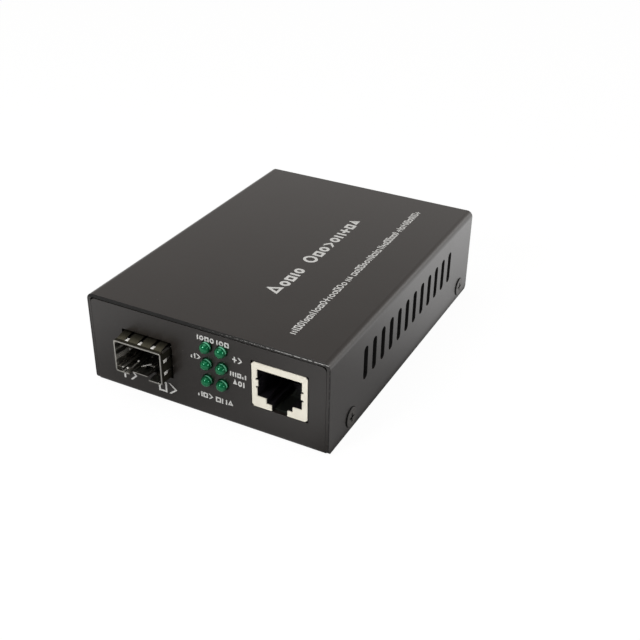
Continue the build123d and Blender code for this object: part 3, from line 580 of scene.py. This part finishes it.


# %% [markdown]
# The epoxy is cloudy enough that nothing shows inside while a lamp is off. What makes it read as a lens
# is its gloss, with a glint from each of two studio lamps. A thin bright crescent on the upper right, just
# in front of its foot, is a painted highlight. Behind the dome, on its upper left and on its lower right it
# is painted deeper green as painted shade. Its reflections are tinted too, or the bright room would turn it
# grey. All six can share one material, because a modulo gives each point its place on its own lamp.

# %% Green tinted lenses
lamp_rows = ("bottom", "middle", "top")
lamp_names = ["led_" + row + "_" + side for row in lamp_rows for side in ("left", "right")]
lamp_radius = 1.5
lamp_boxes = {lamp: [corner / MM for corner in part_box(lamp)] for lamp in lamp_names}
lamp_middles = {lamp: (low + high) / 2 for lamp, (low, high) in lamp_boxes.items()}
first_lamp = lamp_middles["led_bottom_left"]
lamp_pitch_x = lamp_middles["led_bottom_right"].x - first_lamp.x
lamp_pitch_z = lamp_middles["led_middle_left"].z - first_lamp.z
dome_foot = lamp_boxes["led_bottom_left"][0].y + lamp_radius

lens_green = Finish("lens_green", Specular_IOR_Level=0.85, Specular_Tint=(0.30, 1.0, 0.62))
lens_clouds = lens_green.noise(1.6, detail=1.0)
lens_tip = 1 - lens_green.smooth(lens_green.y, dome_foot - 0.75, dome_foot + 0.15)


def from_own_lamp(place, first, pitch):
    """How far a point lies from the middle of its own lamp, where lamps stand a pitch apart."""
    return (place - (first - 1.5 * pitch)) % pitch - pitch / 2


across = from_own_lamp(lens_green.x, first_lamp.x, lamp_pitch_x)
upward = from_own_lamp(lens_green.z, first_lamp.z, lamp_pitch_z)
upper_right = lens_green.smooth(0.62 * across + 0.78 * upward, 0.55, 1.30)
lower_right = lens_green.smooth(0.75 * across - 0.65 * upward, 0.45, 1.30)
upper_left = lens_green.smooth(-0.80 * across + 0.60 * upward, 0.55, 1.45)
# A thin bright band on the upper right, just in front of the foot, is a painted highlight.
crescent_highlight = lens_green.between(lens_green.y, dome_foot - 0.16, dome_foot + 0.20, 0.10) * upper_right
lens_body = lens_green.mix(lens_clouds, (0.0001, 0.085, 0.028), (0.0003, 0.130, 0.045))
# Behind the dome the lens is painted darker as painted shade.
lens_with_shaded_back = lens_green.mix(lens_tip, (0.0001, 0.050, 0.017), lens_body)
# Its lower right and upper left are painted deeper green as painted shade.
shaded_sides = (0.4 * lower_right + 0.6 * upper_left).upto(1.0)
lens_whole = lens_green.mix(shaded_sides, lens_with_shaded_back, (0.0001, 0.020, 0.007))
lens_green.set(
    Base_Color=lens_green.mix(0.80 * crescent_highlight, lens_whole, (0.24, 0.80, 0.50)),
    Roughness=0.03 + 0.03 * lens_clouds,
)
print("lamps stand apart in mm:", round(lamp_pitch_x, 2), round(lamp_pitch_z, 2))

# %% One lens on each lamp
flange_radius = 1.75
flange_length = 0.9
flange_corner = 0.08
dome_steps = 12
for lamp in lamp_names:
    low, high = lamp_boxes[lamp]
    axis = (lamp_middles[lamp].x, lamp_middles[lamp].z)
    turns = [math.pi / 2 * step / dome_steps for step in range(dome_steps + 1)]
    dome = [(lamp_radius * math.sin(turn), low.y + lamp_radius * (1 - math.cos(turn))) for turn in turns]
    flange = [
        (lamp_radius, high.y - flange_length),
        (flange_radius - flange_corner, high.y - flange_length),
        (flange_radius, high.y - flange_length + flange_corner),
        (flange_radius, high.y - flange_corner),
        (flange_radius - flange_corner, high.y),
        (0.0, high.y),
    ]
    lens = finished_piece(lamp + "_lens", turned(dome + flange, axis), lens_green)
    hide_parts(lamp)
print("lenses:", len(lamp_names))

# %% [markdown]
# The collar is held by small barbs pressed out of the cage, which stand in the windows between its
# fingers. They are the brightest spots on the cage, because their crowned tops catch the light from
# above. Each barb is a flat plate that is raised, inset and raised again, and then has its edges
# rounded.

# %% Steel of the barbs
barb_steel = Finish("barb_steel")
barb_grain = barb_steel.noise(0.20, detail=2.0)
barb_steel.set(
    Base_Color=barb_steel.mix(barb_grain, (0.74, 0.73, 0.69), (0.90, 0.89, 0.85)),
    Metallic=0.35,
    Roughness=0.58 + 0.12 * barb_grain,
)
barb_steel.relief(barb_grain, 0.005)
print("barbs get", barb_steel.material.name)

# %% Shape of a barb
barb_length = 1.35
barb_width = 0.96
barb_height = 0.24
barb_shoulder = 0.16
pressing_round = 0.05


def add_barb(mesh, to_place):
    """A crowned pad on the plane z = 0, long along y, moved to its place by a matrix."""
    start = len(mesh.verts)
    made = bmesh.ops.create_grid(mesh, x_segments=1, y_segments=1, size=0.5)
    verts = made["verts"]
    bmesh.ops.scale(mesh, vec=(barb_width, barb_length, 1.0), verts=verts)
    face = verts[0].link_faces[0]
    grown = bmesh.ops.extrude_face_region(mesh, geom=[face], use_keep_orig=True)
    top = [part for part in grown["geom"] if isinstance(part, bmesh.types.BMFace)]
    bmesh.ops.translate(mesh, verts=top[0].verts, vec=(0, 0, barb_height * 0.55))
    bmesh.ops.inset_region(
        mesh,
        faces=top,
        thickness=barb_shoulder,
        use_even_offset=True,
        use_boundary=True,
    )
    bmesh.ops.translate(mesh, verts=top[0].verts, vec=(0, 0, barb_height * 0.45))
    mesh.verts.ensure_lookup_table()
    bmesh.ops.transform(mesh, matrix=Matrix.Scale(MM, 4) @ to_place, verts=mesh.verts[start:])


def round_edges(mesh, clamp):
    """Rounds every edge of a small pressing."""
    bmesh.ops.bevel(
        mesh,
        geom=mesh.edges[:],
        offset=pressing_round * MM,
        offset_type="OFFSET",
        segments=2,
        profile=0.5,
        affect="EDGES",
        material=-1,
        clamp_overlap=clamp,
    )


# %% Three barbs on the cage's roof and two on each wall
barb_y = cage_low.y + 1.8
top_barb_pitch = 3.9
side_barb_pitch = 3.6
cage_height = 9.1
mouth_middle_z = cage_high.z - cage_height / 2

barbs = bmesh.new()
for count in (-1, 0, 1):
    add_barb(barbs, Matrix.Translation((cage_middle_x + count * top_barb_pitch, barb_y, cage_high.z)))
for side in (-1, 1):
    for count in (-0.5, 0.5):
        wall_x = cage_middle_x + side * cage_half
        wall = Vector((wall_x, barb_y, mouth_middle_z + count * side_barb_pitch))
        add_barb(barbs, Matrix.Translation(wall) @ Matrix.Rotation(side * math.pi / 2, 4, "Y"))
bmesh.ops.recalc_face_normals(barbs, faces=barbs.faces)
round_edges(barbs, False)
print("barb faces:", len(barbs.faces))
finished_piece("cage_barbs", barbs, barb_steel, sharp_from=60.0)

# %% [markdown]
# A few small dents are pressed into the cage's floor and left wall, and one long lance runs across the
# floor. Inside a dark tube only their rounded crests catch light. A dent is a short blunt cone, and the
# lance is a narrow block, and all their edges are rounded at once.

# %% Dents in the cage's floor and left wall
cage_sheet = 0.25
cage_floor = cage_high.z - cage_height + cage_sheet
cage_wall = cage_low.x + cage_sheet
floor_dents = ((-23.5, -50.0), (-22.0, -49.9), (-21.5, -46.0))
wall_dents = ((-46.0, 11.9), (-43.5, 14.6))
dent_radius = 0.38
dent_height = 0.20
dent_root = 0.02


def add_dent(mesh, place, turn):
    """A blunt cone that stands on the sheet, its root a little way in it."""
    made = bmesh.ops.create_cone(
        mesh,
        cap_ends=True,
        segments=16,
        radius1=dent_radius,
        radius2=dent_radius * 0.45,
        depth=dent_height,
        calc_uvs=False,
    )
    lift = Matrix.Translation((0, 0, dent_height / 2 - dent_root))
    to_place = Matrix.Scale(MM, 4) @ Matrix.Translation(place) @ turn @ lift
    bmesh.ops.transform(mesh, matrix=to_place, verts=made["verts"])


dents = bmesh.new()
for x, y in floor_dents:
    add_dent(dents, (x, y, cage_floor), Matrix.Identity(4))
for y, z in wall_dents:
    add_dent(dents, (cage_wall, y, z), Matrix.Rotation(math.pi / 2, 4, "Y"))
print("dents:", len(floor_dents) + len(wall_dents))

# %% Lance across the cage's floor
lance_width = 0.30
lance_thickness = 0.16
lance_start = Vector((-19.1, -48.2, cage_floor + 0.35))
lance_end = Vector((-17.2, -46.2, cage_floor + 0.50))
lance_run = lance_end - lance_start
lance_turn = lance_run.to_track_quat("X", "Z").to_matrix().to_4x4()
lance_size = Matrix.Diagonal((lance_run.length, lance_width, lance_thickness, 1.0))
lance_place = Matrix.Scale(MM, 4) @ Matrix.Translation((lance_start + lance_end) / 2)
made = bmesh.ops.create_cube(dents, size=1.0)
bmesh.ops.transform(dents, matrix=lance_place @ lance_turn @ lance_size, verts=made["verts"])
round_edges(dents, True)
print("faces of the dents and the lance:", len(dents.faces))
finished_piece("cage_dents", dents, barb_steel, sharp_from=60.0)

# %% [markdown]
# The white print is screen ink, a few hundredths of a millimetre thick. It is made of plain bars, rings,
# boxes and wedges of the size and stroke of ordinary print, so that the panel is as busy as the real
# one. Each mark starts as one flat face, which is inset or rounded at its corners, and a whole line of
# marks then gets its thickness at once.

# %% White screen ink
ink_white = Finish("white_ink", Specular_IOR_Level=0.4)
ink_grain = ink_white.noise(0.22, detail=3.0, roughness=0.6)
ink_white.set(
    Base_Color=ink_white.mix(ink_grain, (0.42, 0.42, 0.41), (0.78, 0.78, 0.76)),
    Roughness=0.5 + 0.15 * ink_grain,
)
ink_white.relief(ink_grain, 0.006)
print("print gets", ink_white.material.name)


# %% Bars, hoops and wedges on a flat sheet: u runs along the line of print and v up it
def mark_bar(mesh, u0, u1, v0, v1):
    """A bar with rounded corners."""
    corners = [mesh.verts.new((u, v, 0)) for u, v in ((u0, v0), (u1, v0), (u1, v1), (u0, v1))]
    mesh.faces.new(corners)
    bmesh.ops.bevel(
        mesh,
        geom=corners,
        offset=0.28 * min(u1 - u0, v1 - v0),
        offset_type="OFFSET",
        segments=2,
        profile=0.5,
        affect="VERTICES",
        material=-1,
    )


def mark_hoop(mesh, u0, u1, v0, v1, stroke, sides, turn):
    """A hollow ring, box or triangle that fills its place: its sides are many, four or three."""
    fits = {3: (1.0 / math.sqrt(3), 1.0 / 1.5), 4: (math.sqrt(0.5), math.sqrt(0.5))}
    wide, tall = fits.get(sides, (0.5, 0.5))
    middle = Matrix.Translation(((u0 + u1) / 2, (v0 + v1) / 2, 0))
    stretch = Matrix.Diagonal(((u1 - u0) * wide, (v1 - v0) * tall, 1.0, 1.0))
    made = bmesh.ops.create_circle(
        mesh,
        cap_ends=True,
        segments=sides,
        radius=1.0,
        matrix=middle @ stretch @ Matrix.Rotation(math.radians(turn), 4, "Z"),
    )
    face = made["verts"][0].link_faces[0]
    bmesh.ops.inset_region(mesh, faces=[face], thickness=stroke, use_even_offset=True, use_boundary=True)
    bmesh.ops.delete(mesh, geom=[face], context="FACES_ONLY")


def mark_wedge(mesh, u0, u1, v0, v1, stroke):
    """A chevron that points along the line."""
    middle = (v0 + v1) / 2
    slant = 1.25 * stroke
    points = [(u0, v1), (u0 + slant, v1), (u1, middle), (u0 + slant, v0), (u0, v0), (u1 - slant, middle)]
    mesh.faces.new([mesh.verts.new((u, v, 0)) for u, v in points])


# %% One mark, and marks side by side
ring_sides = 24
hairline = 0.02


def mark(mesh, kind, u0, u1, v0, v1, stroke):
    """One plain shape that fills its place."""
    middle = (v0 + v1) / 2
    if kind == "ring":
        mark_hoop(mesh, u0, u1, v0, v1, stroke, ring_sides, 0.0)
    elif kind == "box":
        mark_hoop(mesh, u0, u1, v0, v1, stroke, 4, 45.0)
    elif kind == "peak":
        mark_hoop(mesh, u0, u1, v0, v1, stroke * 0.9, 3, 0.0)
    elif kind == "wedge":
        mark_wedge(mesh, u0, u1, v0, v1, stroke)
    elif kind == "bars":
        mark_bar(mesh, u0, u0 + stroke, v0, v1)
        mark_bar(mesh, u1 - stroke, u1, v0, v1)
    elif kind == "step":
        mark_bar(mesh, u0, u0 + stroke, v0, middle)
        mark_bar(mesh, u1 - stroke, u1, v0, v1)
    elif kind == "plus":
        left = (u0 + u1 - stroke) / 2
        right = left + stroke
        low, high = middle - stroke / 2, middle + stroke / 2
        mark_bar(mesh, left, right, v0, v1)
        mark_bar(mesh, u0, left - hairline, low, high)
        mark_bar(mesh, right + hairline, u1, low, high)
    elif kind == "bar":
        mark_bar(mesh, (u0 + u1 - stroke) / 2, (u0 + u1 + stroke) / 2, v0, v1)


def mark_line(mesh, kinds, u0, u1, v0, v1, stroke, gap):
    """Marks side by side from u0 to u1. A single bar takes half a place."""
    shares = [0.5 if kind == "bar" else 1.0 for kind in kinds]
    place = (u1 - u0 + gap) / sum(shares)
    at = u0
    for kind, share in zip(kinds, shares):
        mark(mesh, kind, at, at + place * share - gap, v0, v1, stroke)
        at += place * share


# %% From flat marks to ink on a sheet
ink_thickness = 0.03


def printed(name, mesh, to_place):
    """Gives the flat marks their thickness and lays them on the sheet."""
    made = bmesh.ops.extrude_face_region(mesh, geom=mesh.faces[:], use_keep_orig=True)
    raised = [part for part in made["geom"] if isinstance(part, bmesh.types.BMVert)]
    bmesh.ops.translate(mesh, verts=raised, vec=(0, 0, ink_thickness))
    bmesh.ops.transform(mesh, matrix=Matrix.Scale(MM, 4) @ to_place, verts=mesh.verts)
    bmesh.ops.recalc_face_normals(mesh, faces=mesh.faces)
    print(name, "faces:", len(mesh.faces))
    return finished_piece(name, mesh, ink_white)


# %% [markdown]
# On the panel each lamp and each socket has its line of print. The line's two ends and its foot and
# head are given in millimetres on the panel, and the marks share the room between them.

# %% Print on the front panel
on_panel = Matrix(((1, 0, 0, 0), (0, 0, -1, front_face), (0, 1, 0, 0), (0, 0, 0, 1)))
small_stroke = 0.36
small_gap = 0.26

lamp_marks = bmesh.new()
for kinds, u0, u1, v0, v1 in (
    (("bar", "ring", "box", "ring"), -1.65, 3.33, 22.5, 23.9),
    (("bar", "ring", "box"), 3.95, 7.57, 22.5, 23.9),
    (("step", "wedge"), -3.7, -0.8, 16.6, 18.1),
    (("plus", "wedge"), 8.4, 11.2, 18.95, 20.6),
    (("bars", "bar", "box", "step"), 7.6, 12.2, 14.75, 16.1),
    (("peak", "ring", "bar"), 8.4, 11.7, 12.3, 13.85),
    (("step", "box", "wedge"), -2.2, 2.3, 5.55, 7.05),
    (("box", "bars", "peak"), 3.1, 8.2, 5.4, 6.9),
):
    mark_line(lamp_marks, kinds, u0, u1, v0, v1, small_stroke, small_gap)
printed("panel_print_small", lamp_marks, on_panel)

large_stroke = 0.5
large_gap = 0.55
port_marks = bmesh.new()
mark_line(port_marks, ("box", "wedge"), -14.4, -8.7, 3.05, 6.25, large_stroke, large_gap)
mark_line(port_marks, ("plus", "wedge"), -26.3, -21.2, 3.45, 6.65, large_stroke, large_gap)
printed("panel_print_large", port_marks, on_panel)

# %% [markdown]
# The two lines on the cover are read from the right-hand side, so u runs towards the back of the box.
# The large one is written out mark by mark. The small one is too long for that, so a seeded draw picks
# its marks, and each run of the script prints the same line.

# %% Large line on the cover
def on_cover(baseline):
    """Lays a line of print along the cover with its foot at x = baseline."""
    return Matrix(((0, -1, 0, baseline), (1, 0, 0, 0), (0, 0, 1, cover_top), (0, 0, 0, 1)))


title_baseline = 8.7
title_stroke = 0.80
title_gap = 0.62
tall_mark = 4.2
low_mark = 3.0
title_rest = ("box", "ring", "wedge", "ring", "bars", "plus", "box", "peak")
title = bmesh.new()
mark_line(title, ("peak",), -25.0, -21.0, 0, tall_mark, title_stroke, title_gap)
mark_line(title, ("ring", "box", "bar", "ring"), -20.3, -9.9, 0, low_mark, title_stroke, title_gap)
mark_line(title, ("ring",), -5.6, -1.9, 0, tall_mark, title_stroke, title_gap)
mark_line(title, title_rest, -1.2, 24.5, 0, low_mark, title_stroke, title_gap)
printed("cover_print_large", title, on_cover(title_baseline))

# %% Small line on the cover
fine_baseline = 21.6
fine_stroke = 0.34
fine_gap = 0.26
fine_pitch = 1.42
fine_tall = 2.1
fine_low = 1.55
tall_share = 0.4
fine_kinds = ("ring", "box", "ring", "box", "bars", "peak", "plus", "bar")
fine_groups = ((-40.0, -10.9), (-10.0, -7.4), (-6.5, 10.6), (11.5, 22.8), (23.7, 39.0))
draw = random.Random(11)
fine_line = bmesh.new()
for u0, u1 in fine_groups:
    kinds = [draw.choice(fine_kinds) for _ in range(round((u1 - u0) / fine_pitch))]
    shares = [0.55 if kind == "bar" else draw.uniform(0.9, 1.15) for kind in kinds]
    place = (u1 - u0 + fine_gap) / sum(shares)
    at = u0
    for kind, share in zip(kinds, shares):
        height = fine_tall if draw.random() < tall_share else fine_low
        mark(fine_line, kind, at, at + share * place - fine_gap, 0, height, fine_stroke)
        at += share * place
printed("cover_print_small", fine_line, on_cover(fine_baseline))

# %% [markdown]
# The box stands on a plain white table in soft light. The floor is a large plane that shows the camera
# a clean white, while part of it stays ordinary paint that still takes the box's shadow. Glossy rays
# see a white that is darker close to the front and the right side and brighter farther off, as a table
# is round a box that shades it, because that sheen is what tells the side of the box from its front.

# %% Floor
floor_half = 2.0
floor_mesh = bmesh.new()
bmesh.ops.create_grid(floor_mesh, x_segments=1, y_segments=1, size=floor_half)
floor_data = bpy.data.meshes.new("floor")
floor_mesh.to_mesh(floor_data)
floor_mesh.free()
floor = bpy.data.objects.new("floor", floor_data)
bpy.context.scene.collection.objects.link(floor)
floor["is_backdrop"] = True
print("floor's side in metres:", 2 * floor_half)

# %% White table, and which rays see it
table_white = Finish("table_white", Base_Color=(0.90, 0.90, 0.90), Roughness=0.9, Specular_IOR_Level=0.0)
camera_ray = table_white.node("ShaderNodeLightPath", output="Is Camera Ray")
mirror_ray = (camera_ray.also("Is Glossy Ray") + camera_ray.also("Is Transmission Ray")).upto(1.0)

# %% What the box's shade does to the table's sheen
shade_middle = (-18.0, -70.0)
shade_per_mm = (0.027, 0.040)
x, y = table_white.x, table_white.y
shade_x = (x - shade_middle[0]) * shade_per_mm[0]
shade_y = (y - shade_middle[1]) * shade_per_mm[1]
before_cage = 1 - table_white.smooth(shade_x * shade_x + shade_y * shade_y, 0.10, 1.2)
by_front = (1 - table_white.smooth(abs(y) + front_face, 2.0, 20.0)) * (x < cover_side + 1.0)
by_right = (1 - table_white.smooth(y, -18.0, 46.0)) * table_white.smooth(x, 26.0, 36.0)
far_right = table_white.smooth(x + 0.4 * y, 55.0, 92.0)
right_of_box = table_white.smooth(x, 34.0, 42.0)
sheen = (1.12 + 0.50 * far_right) * (1 + 0.14 * right_of_box)
sheen = sheen * (1 - 0.60 * before_cage) * (1 - 0.54 * by_front) * (1 - 0.69 * by_right)

# %% White to the camera, plain paint to the lamps
camera_white = 1.03
camera_share = 0.92
mirror_share = 0.85
strength = camera_ray * camera_white + mirror_ray * sheen
glow = table_white.node("ShaderNodeEmission", {}, {"Color": (1.0, 1.0, 1.0), "Strength": strength})
glow_share = (camera_ray * camera_share + mirror_ray * mirror_share).upto(1.0)
plain = Value(table_white, table_white.shader.outputs[0])
surface = table_white.node("ShaderNodeMixShader", {}, {0: glow_share, 1: plain, 2: glow})
table_white.feed(table_white.output.inputs["Surface"], surface)
floor_data.materials.append(table_white.material)
print(table_white.material.name, "on", floor.name)

# %% [markdown]
# The room is a plain grey dome that is brighter behind the box and near the horizon, as a studio with
# its windows at the back. The camera itself sees plain white instead of the dome.

# %% Room
world = bpy.data.worlds.new("studio")
room = Graph(world)
direction = room.node("ShaderNodeTexCoord", output="Generated")
towards_right, towards_back, upwards = room.split(direction)
back_share = room.smooth(towards_back, -0.9, 0.6)
right_share = room.smooth(towards_right, -0.45, 0.40) * room.smooth(towards_back, 0.2, 0.6)
sky = room.ramp(
    upwards,
    (0.0, (0.98, 0.96, 0.94)),
    (0.36, (0.90, 0.87, 0.85)),
    (0.50, (0.43, 0.405, 0.385)),
    (1.0, (0.36, 0.35, 0.34)),
)
seen = room.node("ShaderNodeLightPath", output="Is Camera Ray")
sky_level = (0.28 + 0.66 * back_share) * (1 + 0.75 * right_share)
background = room.tree.nodes["Background"]
room.feed(background.inputs["Color"], room.mix(seen, sky, (1.0, 1.0, 1.0)))
room.feed(background.inputs["Strength"], sky_level * (1 - seen) + seen)
bpy.context.scene.world = world
print("room:", world.name)

# %% [markdown]
# A big soft panel overhead gives the level light, and a smaller one in front fills the panel and the
# face of the jack. One far behind the right side draws the highlight along the fold. The one in front
# and a small one at the right put the two glints in each lens. A lamp is easiest to set by where it
# stands and the point it faces.

# %% Lamps
panel_middle = (3, -49, 16)


def softbox(name, place, towards, size, power):
    """A square area lamp that faces the point towards, its place and size in millimetres."""
    data = bpy.data.lights.new(name, "AREA")
    data.shape = "SQUARE"
    data.size = size * MM
    data.energy = power
    back = (Vector(place) - Vector(towards)).normalized()
    across = Vector((0, 0, 1)).cross(back).normalized()
    turn = Matrix((across, back.cross(across), back)).transposed().to_4x4()
    lamp = bpy.data.objects.new(name, data)
    lamp.matrix_world = Matrix.Translation(Vector(place) * MM) @ turn
    bpy.context.scene.collection.objects.link(lamp)
    print("lamp:", name, power, "W")


softbox("overhead", (-60, -120, 620), (0, -20, 0), size=520, power=1.45)
softbox("frontal", (-165, -486, 330), panel_middle, size=150, power=1.35)
softbox("fold_light", (380, 560, 285), (34, 0, 25), size=260, power=0.32)
softbox("glint_right", (425, -169, 119), panel_middle, size=60, power=0.30)

# %% [markdown]
# The Standard view shows each colour as it is written. At the end the box with its looks is measured
# once more and printed, because finishes and print must not make it larger.

bpy.context.scene.view_settings.view_transform = "Standard"
low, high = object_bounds()
print("box in mm with the looks:", [round(v / MM, 2) for v in (*low, *high)])
